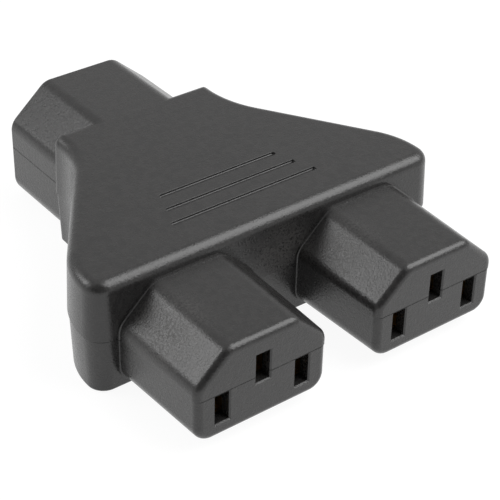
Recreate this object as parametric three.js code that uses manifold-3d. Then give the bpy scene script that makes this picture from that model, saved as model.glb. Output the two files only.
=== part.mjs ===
// Power splitter adapter: one recessed three-pin inlet at the back feeds two
// three-slot outlets at the front. Millimetres, +Z up, outlets facing -Y.
// The origin is under the middle of the adapter, on the surface it rests on.
import * as THREE from 'three';
import { mergeVertices } from 'three/addons/utils/BufferGeometryUtils.js';
import Module from 'manifold-3d';

const wasm = await Module();
wasm.setup();

// Clearances
const SLIP = 0.3; // between a piece and the pocket that it drops into
const SEAT = 0.1; // between two pieces that bear on each other
const SPLIT_GAP = 0.1; // open line between the two shells
const OVERCUT = 1; // how far a cutter runs past what it cuts
const ARC_SHARE = 0.99; // part of a side that the arcs at its two ends may take

// Housing
const outletLength = 18.3; // outlet nose, in front of the body
const flareLength = 39; // bell-shaped body
const inletLength = 15.6; // shroud behind the body
const totalLength = outletLength + flareLength + inletLength;
const bodyHeight = 20; // at the inlet
const topFall = 0.8; // the top slopes down this far towards the outlets
const wall = 2;
const wallDraft = THREE.MathUtils.degToRad(2);
const splitStep = 0.2; // the upper shell stands proud of the lower one
const topFillet = 1.9;
const bottomFillet = 0.5;
const filletSteps = 5;

// Plan of the bell-shaped body, at its widest level
const frontHalfWidth = 32.1;
const backHalfWidth = 15.3;
const flankLength = 7.8; // straight side, from the front wall to the bell's shoulder
const flareAngle = THREE.MathUtils.degToRad(34.6);
const shoulderRadius = 14;
const neckRadius = 16;
const frontCornerRadius = 3.3;
const backCornerRadius = 1.6;
const cornerSteps = 7;

// Outlet nose, at its face
const outletPitch = 32.3;
const noseWidth = 23;
const noseHeight = 14.8;
const noseLift = 1.7; // nose underside above the body's underside
const noseChamferWidth = 5.5;
const noseChamferHeight = 5.1;
const noseBottomRadius = 2.8;
const noseEdgeRadius = 0.7;
const noseDraft = THREE.MathUtils.degToRad(1.5);
const noseFaceFillet = 0.9;
const noseCornerSteps = 4;

// Three-pole pattern, shared by the outlets and the inlet
const poleSpacing = 7; // live or neutral to the middle line
const rowHeight = 5; // live and neutral above the nose's underside
const earthRise = 4; // earth above live and neutral
const slotWidth = 2.4;
const slotHeight = 4.9;
const splitAboveSlots = 0.3; // the shells meet just above the live and neutral slots

// Inlet shroud and its recess
const shroudWidth = 27.4;
const shroudChamferWidth = 7.1;
const shroudChamferHeight = 6.15;
const shroudBottomRadius = 3.6;
const shroudEdgeRadius = 1.3;
const shroudDrop = 0.25; // its top lies this far below the body's top
const shroudWall = 1.5;
const rimFillet = 0.4;
const recessDepth = 16.1;

// Pin block, held behind a shoulder at the recess floor
const shoulderDepth = 1.2;
const shoulderReach = 2;
const flangeReach = 1.2; // flange edge past the window
const flangeThickness = 3.6;
const retainerDepth = 1.2;
const retainerReach = 1.6;

// Pins
const pinWidth = 2;
const pinHeight = 4;
const pinTipGap = 3.2; // tip of a live or neutral pin behind the rim
const earthLead = 1.8; // the earth pin reaches further
const pinTipLength = 1.4;
const pinTipTaper = 0.6;
const pinTipSteps = 3;
const pinCornerRadius = 0.45;
const pinCornerSteps = 3;
const tailRadius = 1;
const tailHeadRadius = 1.5;
const tailHeadThickness = 0.6;

// Socket contacts
const sheet = 0.5;
const sleeveWidth = 3.8;
const sleeveHeight = 5.6;
const sleeveSeam = 1.2;
const lipFlare = 0.15;
const gripNip = 0.45; // how far each flank bows in to grip a pin
const gripHalfHeight = 1.12; // flat part of a bowed flank
const gripShoulder = 0.67; // slope above and below it
const tabWidth = 3.4;
const tabLength = 7;
const chamberWidth = sleeveWidth + 2 * SLIP;
const chamberHeight = sleeveHeight + 2 * SLIP;
const faceWall = 1.9; // behind the slots

// Busbars and rivets
const barThickness = 0.8;
const barWidth = 4.4;
const lugWidth = 4.2;
const crossbarFront = 7.1; // front wall to the crossbars
const tabGap = 1.2; // end of a tab to the crossbars
const rivetInset = 1.9; // rivet to the end of its tab
const rivetRadius = 0.8;
const rivetHeadRadius = 1.4;
const rivetHeadThickness = 0.45;
const rivetCrownRadius = 1; // flat on top of a head
const rivetRimThickness = 0.15;
const rivetSegments = 16;
const eyeletClearance = 0.15;

// Separator between the crossing bars
const separatorThickness = 1;
const postRadius = 1.3;
const postInset = 6.6; // bell's side to a post behind the crossbars
const postRows = [3.6, 14.6]; // those posts behind the crossbars
const frontPostGap = 0.4; // front wall's inside to the posts under the outlets
const supportThickness = 1.2; // ribs and pads that hold the bars

// Tongue and groove where the shells meet
const rimRibWidth = 0.7;
const rimRibHeight = 0.8;
const grooveClearance = 0.15;

// Grip ridges on the top
const ridgeCount = 3;
const ridgePitch = 3.6;
const ridgeFront = 6.7; // first ridge behind the front wall
const ridgeHalfLength = 13.5;
const ridgeShortening = 1.25;
const ridgeWidth = 1;
const ridgeHeight = 0.35;

// Places along the adapter
const faceY = -totalLength / 2;
const frontWallY = faceY + outletLength;
const backWallY = frontWallY + flareLength;
const rimY = backWallY + inletLength;
const recessFloorY = rimY - recessDepth;
const flangeFrontY = recessFloorY - shoulderDepth;
const flangeBackY = flangeFrontY - SEAT - flangeThickness;
const sleeveFrontY = faceY + faceWall + SLIP;
const tabBackY = frontWallY + crossbarFront - tabGap;
const sleeveBackY = tabBackY - tabLength;
const sleeveLength = sleeveBackY - sleeveFrontY;
const rivetY = tabBackY - rivetInset;
const cavityFrontY = frontWallY + wall;
const crossbarY = frontWallY + crossbarFront;
const lugBackY = flangeBackY - SEAT;
const lugFrontY = lugBackY - barThickness;
const tailHeadFrontY = lugFrontY - SEAT - tailHeadThickness;
const retainerBackY = flangeBackY - SEAT;
const retainerFrontY = retainerBackY - retainerDepth;

// Heights of the poles and of the bars
const recessBottom = shroudWall;
const recessTop = bodyHeight - shroudDrop - shroudWall;
const outletRowZ = noseLift + rowHeight;
const splitHeight = outletRowZ + slotHeight / 2 + splitAboveSlots;
const upperFloor = splitHeight + SPLIT_GAP / 2;
const lowerRoof = splitHeight - SPLIT_GAP / 2;
const outletEarthZ = outletRowZ + earthRise;
const inletRowZ = (recessBottom + recessTop - noseHeight) / 2 + rowHeight;
const inletEarthZ = inletRowZ + earthRise;
const neutralBarZ = outletRowZ - sleeveHeight / 2 + sheet + SEAT;
const liveBarZ = outletRowZ + sleeveHeight / 2 + SEAT;
const earthBarZ = outletEarthZ + sleeveHeight / 2 + SEAT;
const neutralHeadTop = neutralBarZ + barThickness + SEAT + rivetHeadThickness;
const liveHeadBottom = liveBarZ - sheet - 2 * SEAT - rivetHeadThickness;
const separatorZ = (neutralHeadTop + liveHeadBottom - separatorThickness) / 2;

// Each pole: its offset from a connector's middle, its side of the sleeve and its bar
const POLES = {
  neutral: { offset: -poleSpacing, inlet: inletRowZ, outlet: outletRowZ, bar: neutralBarZ, side: -1 },
  live: { offset: poleSpacing, inlet: inletRowZ, outlet: outletRowZ, bar: liveBarZ, side: 1 },
  earth: { offset: 0, inlet: inletEarthZ, outlet: outletEarthZ, bar: earthBarZ, side: 1 },
};
const OUTLETS = { left: -outletPitch / 2, right: outletPitch / 2 };

const black = new THREE.MeshStandardMaterial({ color: 0x1c1c1e, roughness: 0.42, metalness: 0 });
const insulating = new THREE.MeshStandardMaterial({ color: 0x232326, roughness: 0.5, metalness: 0 });
const brass = new THREE.MeshStandardMaterial({ color: 0xb89a52, roughness: 0.35, metalness: 1 });
const nickel = new THREE.MeshStandardMaterial({ color: 0xb9bab8, roughness: 0.25, metalness: 1 });

// Closed mesh to solid: only positions are kept, so shared vertices merge.
function solidFrom(geometry) {
  const bare = geometry.clone();
  bare.deleteAttribute('normal');
  bare.deleteAttribute('uv');
  const merged = mergeVertices(bare, 1e-5);
  const corners = merged.index.array;
  const kept = [];
  for (let i = 0; i < corners.length; i += 3) {
    const [a, b, c] = corners.slice(i, i + 3);
    if (a !== b && b !== c && c !== a) kept.push(a, b, c);
  }
  return new wasm.Manifold(
    new wasm.Mesh({
      numProp: 3,
      vertProperties: new Float32Array(merged.attributes.position.array),
      triVerts: new Uint32Array(kept),
    }),
  );
}

function geometryFrom(solid) {
  const mesh = solid.getMesh();
  const geometry = new THREE.BufferGeometry();
  geometry.setAttribute('position', new THREE.BufferAttribute(new Float32Array(mesh.vertProperties), 3));
  geometry.setIndex(new THREE.BufferAttribute(new Uint32Array(mesh.triVerts), 1));
  geometry.computeVertexNormals();
  return geometry;
}

function join(solids) {
  return solids.reduce((whole, piece) => whole.add(piece));
}

function cut(solid, cutters) {
  return cutters.reduce((left, cutter) => left.subtract(cutter), solid);
}

function block(x0, x1, y0, y1, z0, z1) {
  const geometry = new THREE.BoxGeometry(x1 - x0, y1 - y0, z1 - z0);
  geometry.translate((x0 + x1) / 2, (y0 + y1) / 2, (z0 + z1) / 2);
  return solidFrom(geometry);
}

// Round bar from z0 to z1, or along Y from y0 to y1
function post(x, y, radius, z0, z1, segments = rivetSegments) {
  const geometry = new THREE.CylinderGeometry(radius, radius, z1 - z0, segments);
  geometry.rotateX(Math.PI / 2);
  geometry.translate(x, y, (z0 + z1) / 2);
  return solidFrom(geometry);
}

function rod(x, z, radius, y0, y1, segments = rivetSegments) {
  const geometry = new THREE.CylinderGeometry(radius, radius, y1 - y0, segments);
  geometry.translate(x, (y0 + y1) / 2, z);
  return solidFrom(geometry);
}

// Solid through a list of rings with the same number of points. A ring is an
// array of Vector3; the first and last rings are filled with flat caps.
function loft(rings) {
  const count = rings[0].length;
  const points = rings.flat();
  const faces = [];
  for (let level = 0; level + 1 < rings.length; level += 1) {
    for (let i = 0; i < count; i += 1) {
      const a = level * count + i;
      const b = level * count + ((i + 1) % count);
      faces.push([a, b, b + count], [a, b + count, a + count]);
    }
  }
  const alongY = rings[0].every((p) => Math.abs(p.y - rings[0][0].y) < 1e-9);
  const flat = (p) => (alongY ? new THREE.Vector2(p.z, p.x) : new THREE.Vector2(p.x, p.y));
  const last = (rings.length - 1) * count;
  for (const [a, b, c] of THREE.ShapeUtils.triangulateShape(rings[0].map(flat), [])) {
    faces.push([c, b, a]);
  }
  for (const [a, b, c] of THREE.ShapeUtils.triangulateShape(rings.at(-1).map(flat), [])) {
    faces.push([a + last, b + last, c + last]);
  }
  const geometry = new THREE.BufferGeometry();
  geometry.setAttribute('position', new THREE.Float32BufferAttribute(points.flatMap((p) => p.toArray()), 3));
  geometry.setIndex(faces.flat());
  return solidFrom(geometry);
}

// Moves every side of a counter-clockwise outline inwards by a distance. A
// corner is { u, v, r }; outer corners lose the distance from their radius
// and inner corners gain it.
function insetCorners(corners, distance) {
  const n = corners.length;
  const side = (i) => {
    const a = corners[i];
    const b = corners[(i + 1) % n];
    const length = Math.hypot(b.u - a.u, b.v - a.v);
    return { du: (b.u - a.u) / length, dv: (b.v - a.v) / length, a };
  };
  return corners.map((corner, i) => {
    const before = side((i + n - 1) % n);
    const after = side(i);
    const turn = before.du * after.dv - before.dv * after.du;
    // Point p of the first moved side, stepped along it to the second one
    const pu = before.a.u - before.dv * distance;
    const pv = before.a.v + before.du * distance;
    const qu = corner.u - after.dv * distance;
    const qv = corner.v + after.du * distance;
    const step = ((qu - pu) * after.dv - (qv - pv) * after.du) / turn;
    const sharpest = 0.05;
    const radius = corner.r - Math.sign(turn) * distance;
    return { u: pu + before.du * step, v: pv + before.dv * step, r: Math.max(radius, sharpest) };
  });
}

// Points of an outline whose corners are arcs tangent to their two sides. Arcs
// that would overlap on a short side shrink to fit it.
function roundedOutline(corners, steps) {
  const n = corners.length;
  const at = (i) => new THREE.Vector2(corners[(i + n) % n].u, corners[(i + n) % n].v);
  const halfAngle = (i) => {
    const back = at(i - 1).sub(at(i)).normalize();
    const on = at(i + 1).sub(at(i)).normalize();
    return Math.acos(THREE.MathUtils.clamp(back.dot(on), -1, 1)) / 2;
  };
  const wanted = corners.map((corner, i) => corner.r / Math.tan(halfAngle(i)));
  // Share of its wish that side i, from corner i to the next one, can give
  const share = corners.map((_, i) => {
    const length = at(i).distanceTo(at(i + 1));
    return Math.min(1, (ARC_SHARE * length) / (wanted[i] + wanted[(i + 1) % n]));
  });
  return corners.flatMap((corner, i) => {
    const here = at(i);
    const back = at(i - 1).sub(here).normalize();
    const on = at(i + 1).sub(here).normalize();
    const half = halfAngle(i);
    const reach = wanted[i] * Math.min(share[i], share[(i + n - 1) % n]);
    const middle = back.clone().add(on).normalize();
    const centre = here.clone().addScaledVector(middle, reach / Math.cos(half));
    const from = here.clone().addScaledVector(back, reach).sub(centre);
    const to = here.clone().addScaledVector(on, reach).sub(centre);
    const sweep = Math.atan2(from.cross(to), from.dot(to));
    return Array.from({ length: steps + 1 }, (_, k) =>
      from.clone().rotateAround(new THREE.Vector2(), (sweep * k) / steps).add(centre),
    );
  });
}

const shoulderY = frontWallY + flankLength;

// Plan of the body: front corner, shoulder of the bell, its neck and the back
// corner, then the same on the left.
function bodyCorners() {
  const slopeRun = (frontHalfWidth - backHalfWidth) / Math.tan(flareAngle);
  const right = [
    { u: frontHalfWidth, v: frontWallY, r: frontCornerRadius },
    { u: frontHalfWidth, v: shoulderY, r: shoulderRadius },
    { u: backHalfWidth, v: shoulderY + slopeRun, r: neckRadius },
    { u: backHalfWidth, v: backWallY, r: backCornerRadius },
  ];
  return [...right, ...right.map((c) => ({ ...c, u: -c.u })).reverse()];
}

// Section of an outlet nose or of the inlet shroud: u is X and v is Z
function connectorCorners(width, bottom, top, chamferWidth, chamferHeight, bottomRadius, edgeRadius) {
  const half = width / 2;
  const right = [
    { u: half, v: bottom, r: bottomRadius },
    { u: half, v: top - chamferHeight, r: edgeRadius },
    { u: half - chamferWidth, v: top, r: edgeRadius },
  ];
  return [...right, ...right.map((c) => ({ ...c, u: -c.u })).reverse()];
}

// Height at y of what lies at height z by the inlet: everything above the split
// leans with the sloping top.
function slopedHeight(y, z) {
  const share = Math.max(0, z - upperFloor) / (bodyHeight - upperFloor);
  return z - (topFall * share * (backWallY - y)) / flareLength;
}

// Body between two levels, each level { z, inset }
function bodyLoft(levels) {
  const rings = levels.map(({ z, inset }) =>
    roundedOutline(insetCorners(bodyCorners(), inset), cornerSteps).map(
      (p) => new THREE.Vector3(p.x, p.y, slopedHeight(p.y, z)),
    ),
  );
  return loft(rings);
}

// Connector section along Y, each station { y, inset }, moved sideways to x
function connectorLoft(corners, stations, x = 0, steps = noseCornerSteps) {
  const rings = stations.map(({ y, inset }) =>
    roundedOutline(insetCorners(corners, inset), steps)
      .map((p) => new THREE.Vector3(p.x + x, y, p.y))
      .reverse(),
  );
  return loft(rings);
}

// Levels of a rounded edge: a quarter circle of a radius, ending at height z
function edgeLevels(z, radius, draft, direction) {
  return Array.from({ length: filletSteps + 1 }, (_, k) => {
    const angle = (Math.PI / 2) * (k / filletSteps);
    return {
      z: z - direction * radius * (1 - Math.sin(angle)),
      inset: draft + radius * (1 - Math.cos(angle)),
    };
  });
}

// Stations of a rounded end, from its flat face at y towards direction
function endStations(y, radius, direction, steps = 3) {
  return Array.from({ length: steps + 1 }, (_, k) => {
    const angle = (Math.PI / 2) * (1 - k / steps);
    return { y: y + direction * radius * (1 - Math.sin(angle)), inset: radius * (1 - Math.cos(angle)) };
  });
}

const noseCorners = connectorCorners(
  noseWidth,
  noseLift,
  noseLift + noseHeight,
  noseChamferWidth,
  noseChamferHeight,
  noseBottomRadius,
  noseEdgeRadius,
);
const shroudCorners = connectorCorners(
  shroudWidth,
  0,
  bodyHeight - shroudDrop,
  shroudChamferWidth,
  shroudChamferHeight,
  shroudBottomRadius,
  shroudEdgeRadius,
);
const windowInset = shroudWall + shoulderReach;
const pocketInset = windowInset - flangeReach;

// Everything above or below the line where the shells meet
const reach = 2 * totalLength;
const aboveSplit = block(-reach, reach, -reach, reach, upperFloor, reach);
const belowSplit = block(-reach, reach, -reach, reach, -reach, lowerRoof);

const draftInset = (z) => Math.abs(z - splitHeight) * Math.tan(wallDraft);

function upperBody() {
  const edge = edgeLevels(bodyHeight, topFillet, draftInset(bodyHeight - topFillet), 1);
  return bodyLoft([{ z: upperFloor, inset: 0 }, ...edge]);
}

function lowerBody() {
  const edge = edgeLevels(0, bottomFillet, splitStep + draftInset(bottomFillet), -1);
  return bodyLoft([...edge.reverse(), { z: lowerRoof, inset: splitStep }]);
}

// Outlet nose, drafted so that it widens towards the body
function nose(x) {
  const root = cavityFrontY;
  const stations = [
    ...endStations(faceY, noseFaceFillet, 1),
    { y: root, inset: -(root - faceY) * Math.tan(noseDraft) },
  ];
  return connectorLoft(noseCorners, stations, x);
}

function shroud() {
  const stations = [{ y: retainerFrontY, inset: 0 }, ...endStations(rimY, rimFillet, -1).reverse()];
  return connectorLoft(shroudCorners, stations);
}

// Slots and contact chambers of one outlet
function outletCutters(x) {
  return Object.values(POLES).flatMap(({ offset, outlet }) => {
    const hole = (width, height, y0, y1) =>
      block(
        x + offset - width / 2,
        x + offset + width / 2,
        y0,
        y1,
        outlet - height / 2,
        outlet + height / 2,
      );
    return [
      hole(slotWidth, slotHeight, faceY - OVERCUT, faceY + faceWall + OVERCUT),
      hole(chamberWidth, chamberHeight, faceY + faceWall, cavityFrontY + OVERCUT),
    ];
  });
}

// Hollow of the body, up to the ribs that hold the pin block
function cavity() {
  const floor = { z: wall, inset: splitStep + draftInset(wall) + wall };
  const rim = { z: splitHeight, inset: splitStep + wall };
  const roof = { z: bodyHeight - wall, inset: draftInset(bodyHeight - wall) + wall };
  return bodyLoft([floor, rim, roof]).subtract(
    block(-reach, reach, retainerFrontY, reach, -reach, reach),
  );
}

// Lowest and highest point of a bar's lug
function lugSpan(name) {
  const { inlet, bar } = POLES[name];
  return [Math.min(bar, inlet - lugWidth / 2), Math.max(bar + barThickness, inlet + lugWidth / 2)];
}

// Inlet recess, its floor window, the pin block's pocket, and the gap in the
// ribs with room for the lugs
function inletCutters() {
  const hollow = (inset, y0, y1) => connectorLoft(shroudCorners, [{ y: y0, inset }, { y: y1, inset }]);
  const lugRoom = Object.entries(POLES).map(([name, { offset }]) => {
    const [low, high] = lugSpan(name);
    const half = lugWidth / 2 + SLIP;
    return block(offset - half, offset + half, retainerFrontY - OVERCUT, retainerBackY + SLIP, low - SLIP, high + SLIP);
  });
  return [
    ...lugRoom,
    hollow(shroudWall, recessFloorY, rimY + OVERCUT),
    hollow(windowInset, flangeFrontY - SLIP, recessFloorY + OVERCUT),
    hollow(pocketInset, retainerBackY, flangeFrontY),
    hollow(pocketInset + retainerReach, retainerFrontY - OVERCUT, retainerBackY + SLIP),
  ];
}

// Rib along the side walls where the shells meet, grown by a clearance
function rimRib(grow, z0, z1) {
  const middle = splitStep + wall / 2;
  const outer = middle - rimRibWidth / 2 - grow;
  const inner = middle + rimRibWidth / 2 + grow;
  const ring = bodyLoft([{ z: z0, inset: outer }, { z: z1, inset: outer }]).subtract(
    bodyLoft([{ z: z0 - OVERCUT, inset: inner }, { z: z1 + OVERCUT, inset: inner }]),
  );
  const sides = block(-reach, reach, cavityFrontY + OVERCUT - grow, retainerFrontY + grow, -reach, reach);
  return ring.intersect(sides);
}

// Rounded ridges across the top, longer towards the outlets
function ridges() {
  return Array.from({ length: ridgeCount }, (_, k) => {
    const half = ridgeHalfLength - k * ridgeShortening;
    const geometry = new THREE.CapsuleGeometry(ridgeWidth / 2, 2 * half - ridgeWidth, 3, 12);
    geometry.rotateZ(Math.PI / 2);
    geometry.scale(1, 1, ridgeHeight / (ridgeWidth / 2));
    const y = frontWallY + ridgeFront + k * ridgePitch;
    geometry.translate(0, y, slopedHeight(y, bodyHeight));
    return solidFrom(geometry);
  });
}

// Ribs that stand on the floor or hang from the roof, { x, y, w, d } in plan
function ribs(places, z0, z1) {
  return places.map(({ x, y, w, d }) => block(x - w / 2, x + w / 2, y - d / 2, y + d / 2, z0, z1));
}

function poleX(pole, outlet) {
  return OUTLETS[outlet] + POLES[pole].offset;
}

const crossbarMidY = crossbarY + barWidth / 2;
const legMidY = (crossbarY + barWidth + lugFrontY) / 2;

// Places of the posts under the separator: one behind each outlet, and two
// rows that follow the sides of the bell
function postPlaces() {
  const rows = postRows.map((back) => {
    const y = crossbarY + barWidth + back;
    return { x: frontHalfWidth - (y - shoulderY) * Math.tan(flareAngle) - postInset, y };
  });
  const front = { x: OUTLETS.right, y: cavityFrontY + frontPostGap + postRadius };
  return [front, ...rows].flatMap(({ x, y }) => [{ x, y }, { x: -x, y }]);
}

function lowerShell() {
  const outside = join([lowerBody(), nose(OUTLETS.left).add(nose(OUTLETS.right)).add(shroud()).intersect(belowSplit)]);
  const hollowed = cut(outside, [
    cavity(),
    ...inletCutters(),
    ...outletCutters(OUTLETS.left),
    ...outletCutters(OUTLETS.right),
  ]);
  const root = wall - SLIP;
  const posts = postPlaces().map(({ x, y }) => post(x, y, postRadius, root, separatorZ - SEAT));
  const rests = ribs(
    [
      { x: POLES.neutral.offset, y: legMidY, w: barWidth, d: supportThickness },
      { x: OUTLETS.left, y: crossbarMidY, w: supportThickness, d: barWidth },
      { x: 0, y: crossbarMidY, w: supportThickness, d: barWidth },
    ],
    root,
    neutralBarZ - SEAT,
  );
  const tongue = rimRib(0, splitHeight - SPLIT_GAP, splitHeight + rimRibHeight);
  return join([hollowed, ...posts, ...rests, tongue]);
}

function upperShell() {
  const outside = join([upperBody(), nose(OUTLETS.left).add(nose(OUTLETS.right)).add(shroud()).intersect(aboveSplit)]);
  const hollowed = cut(outside, [
    cavity(),
    ...inletCutters(),
    ...outletCutters(OUTLETS.left),
    ...outletCutters(OUTLETS.right),
    rimRib(grooveClearance, splitHeight - OVERCUT, splitHeight + rimRibHeight + SLIP),
  ]);
  const root = bodyHeight - wall + SLIP;
  const barTop = (z) => z + barThickness + SEAT;
  const overEarth = ribs(
    [
      { x: 0, y: legMidY, w: barWidth, d: supportThickness },
      { x: OUTLETS.left / 2, y: crossbarMidY, w: supportThickness, d: barWidth },
      { x: OUTLETS.right / 2, y: crossbarMidY, w: supportThickness, d: barWidth },
    ],
    barTop(earthBarZ),
    root,
  );
  const overLive = ribs(
    [{ x: POLES.live.offset, y: legMidY, w: barWidth - 2 * SLIP, d: supportThickness }],
    barTop(liveBarZ),
    root,
  );
  return join([hollowed, ...overEarth, ...overLive, ...ridges()]);
}

// Insulating block that carries the three pins
function pinBlock() {
  const slab = (inset, y0, y1) => connectorLoft(shroudCorners, [{ y: y0, inset }, { y: y1, inset }]);
  const body = slab(pocketInset + SLIP, flangeBackY, flangeFrontY - SEAT).add(
    slab(windowInset + SLIP, flangeFrontY - SEAT - SLIP, recessFloorY),
  );
  const passages = Object.values(POLES).map(({ offset, inlet }) =>
    block(
      offset - pinWidth / 2 - eyeletClearance,
      offset + pinWidth / 2 + eyeletClearance,
      flangeBackY - OVERCUT,
      rimY,
      inlet - pinHeight / 2 - eyeletClearance,
      inlet + pinHeight / 2 + eyeletClearance,
    ),
  );
  return cut(body, passages);
}

// Flat pin with a tapered tip, a round tail behind the block and its riveted head
function pin(name) {
  const { offset, inlet } = POLES[name];
  const tipY = rimY - pinTipGap + (name === 'earth' ? earthLead : 0);
  const half = { u: pinWidth / 2, v: pinHeight / 2 };
  const corners = [
    { u: half.u, v: -half.v, r: pinCornerRadius },
    { u: half.u, v: half.v, r: pinCornerRadius },
    { u: -half.u, v: half.v, r: pinCornerRadius },
    { u: -half.u, v: -half.v, r: pinCornerRadius },
  ].map((c) => ({ ...c, v: c.v + inlet }));
  const tip = Array.from({ length: pinTipSteps + 1 }, (_, k) => {
    const angle = (Math.PI / 2) * (k / pinTipSteps);
    return { y: tipY - pinTipLength * (1 - Math.sin(angle)), inset: pinTipTaper * (1 - Math.cos(angle)) };
  });
  const blade = connectorLoft(corners, [{ y: flangeBackY, inset: 0 }, ...tip], offset, pinCornerSteps);
  const tail = rod(offset, inlet, tailRadius, tailHeadFrontY, flangeBackY + OVERCUT);
  const head = rod(offset, inlet, tailHeadRadius, tailHeadFrontY, tailHeadFrontY + tailHeadThickness);
  return join([blade, tail, head]);
}

// Section of a folded sleeve with its seam on top, half sizes w and h
function sleeveRing(y, w, h, nip) {
  const side = [
    [w, h],
    [w, gripHalfHeight + gripShoulder],
    [w - nip, gripHalfHeight],
    [w - nip, -gripHalfHeight],
    [w, -gripHalfHeight - gripShoulder],
    [w, -h],
  ];
  const inner = side.map(([x, z], i) => {
    const end = i === 0 || i === side.length - 1;
    return [x - sheet, end ? z - Math.sign(z) * sheet : z];
  });
  const outline = [
    [-sleeveSeam / 2, h],
    ...side.map(([x, z]) => [-x, z]),
    ...side.map(([x, z]) => [x, z]).reverse(),
    [sleeveSeam / 2, h],
    [sleeveSeam / 2, h - sheet],
    ...inner,
    ...inner.map(([x, z]) => [-x, z]).reverse(),
    [-sleeveSeam / 2, h - sheet],
  ];
  return outline.map(([x, z]) => new THREE.Vector3(x, y, z)).reverse();
}

// Spring sleeve folded from sheet: flared mouth, flanks that bow in to grip the
// pin, and a flat tab that is riveted to its bar. The tab leaves on the side
// of the bar and the seam is opposite.
function socketContact(pole, outlet) {
  const { outlet: z, side } = POLES[pole];
  const w = sleeveWidth / 2;
  const h = sleeveHeight / 2;
  const rings = [
    [0, lipFlare, 0],
    [0.08, 0, 0],
    [0.2, 0, 0],
    [0.38, 0, gripNip],
    [0.6, 0, gripNip],
    [0.8, 0, 0],
    [1, 0, 0],
  ].map(([t, flare, nip]) => sleeveRing(sleeveFrontY + t * sleeveLength, w + flare, h, nip));
  const sleeve = loft(rings);
  const tab = block(-tabWidth / 2, tabWidth / 2, sleeveBackY - OVERCUT, tabBackY, -h, -h + sheet);
  const eye = post(0, rivetY, rivetRadius + eyeletClearance, -h - OVERCUT, -h + OVERCUT);
  const turned = side > 0 ? [0, 180, 0] : [0, 0, 0];
  return cut(sleeve.add(tab), [eye]).rotate(turned).translate([poleX(pole, outlet), 0, z]);
}

// Flat bar: a crossbar with a finger to each outlet, a leg towards the inlet
// and a lug bent up or down to the pin's tail
function busbar(name) {
  const { offset, inlet, bar } = POLES[name];
  const top = bar + barThickness;
  const lugHalf = lugWidth / 2;
  const xs = Object.keys(OUTLETS).map((outlet) => poleX(name, outlet));
  const crossbar = block(
    Math.min(...xs) - tabWidth / 2,
    Math.max(...xs) + tabWidth / 2,
    crossbarY,
    crossbarY + barWidth,
    bar,
    top,
  );
  const fingers = xs.map((x) =>
    block(x - tabWidth / 2, x + tabWidth / 2, cavityFrontY + SLIP, crossbarY + OVERCUT, bar, top),
  );
  const leg = block(offset - lugHalf, offset + lugHalf, crossbarY, lugBackY, bar, top);
  const lug = block(offset - lugHalf, offset + lugHalf, lugFrontY, lugBackY, ...lugSpan(name));
  const eyes = xs.map((x) => post(x, rivetY, rivetRadius + eyeletClearance, bar - OVERCUT, top + OVERCUT));
  const lugEye = rod(offset, inlet, tailRadius + eyeletClearance, lugFrontY - OVERCUT, lugBackY + OVERCUT);
  return cut(join([crossbar, ...fingers, leg, lug]), [...eyes, lugEye]);
}

// Rivet through a tab and its bar, with a domed head on both sides
function rivet(pole, outlet) {
  const { outlet: z, side, bar } = POLES[pole];
  const tabOuter = z + (side * sleeveHeight) / 2;
  const tabInner = tabOuter - side * sheet;
  const low = Math.min(bar, tabInner, tabOuter) - SEAT;
  const high = Math.max(bar + barThickness, tabInner, tabOuter) + SEAT;
  const profile = [
    [0, low - rivetHeadThickness],
    [rivetCrownRadius, low - rivetHeadThickness],
    [rivetHeadRadius, low - rivetRimThickness],
    [rivetHeadRadius, low],
    [rivetRadius, low],
    [rivetRadius, high],
    [rivetHeadRadius, high],
    [rivetHeadRadius, high + rivetRimThickness],
    [rivetCrownRadius, high + rivetHeadThickness],
    [0, high + rivetHeadThickness],
  ].map(([r, h]) => new THREE.Vector2(r, h));
  const geometry = new THREE.LatheGeometry(profile, rivetSegments);
  geometry.rotateX(Math.PI / 2);
  geometry.translate(poleX(pole, outlet), rivetY, 0);
  return solidFrom(geometry);
}

// Insulating sheet between the low bar and the two upper ones, with pads that
// the middle bar rests on
function barSeparator() {
  const inset = splitStep + draftInset(separatorZ) + wall + SLIP;
  const top = separatorZ + separatorThickness;
  const sheetPlan = bodyLoft([
    { z: separatorZ, inset },
    { z: top, inset },
  ]).subtract(block(-reach, reach, tailHeadFrontY - SLIP, reach, -reach, reach));
  const pads = ribs(
    [
      { x: POLES.live.offset, y: legMidY, w: barWidth, d: supportThickness },
      { x: 0, y: crossbarMidY, w: supportThickness, d: barWidth },
      { x: OUTLETS.right, y: crossbarMidY, w: supportThickness, d: barWidth },
    ],
    top - SLIP,
    liveBarZ - SEAT,
  );
  return join([sheetPlan, ...pads]);
}

const adapter = new THREE.Group();

function addPiece(name, solid, material) {
  const mesh = new THREE.Mesh(geometryFrom(solid), material);
  mesh.name = name;
  adapter.add(mesh);
}

addPiece('lower_shell', lowerShell(), black);
addPiece('upper_shell', upperShell(), black);
addPiece('pin_block', pinBlock(), insulating);
addPiece('bar_separator', barSeparator(), insulating);
for (const pole of Object.keys(POLES)) {
  addPiece(`${pole}_pin`, pin(pole), nickel);
  addPiece(`${pole}_busbar`, busbar(pole), brass);
  for (const outlet of Object.keys(OUTLETS)) {
    addPiece(`${outlet}_${pole}_contact`, socketContact(pole, outlet), brass);
    addPiece(`${outlet}_${pole}_rivet`, rivet(pole, outlet), brass);
  }
}

export default adapter;
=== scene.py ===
# %% [markdown]
# A power splitter adapter: one recessed three-pin inlet, a bell-shaped body and
# two three-slot outlets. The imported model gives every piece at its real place.
# This script gives the moulded shells their fine surface, dresses every piece in
# a material of its own, and lights the adapter as on a white table.

# %% Load the fixed frame
import math

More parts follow.
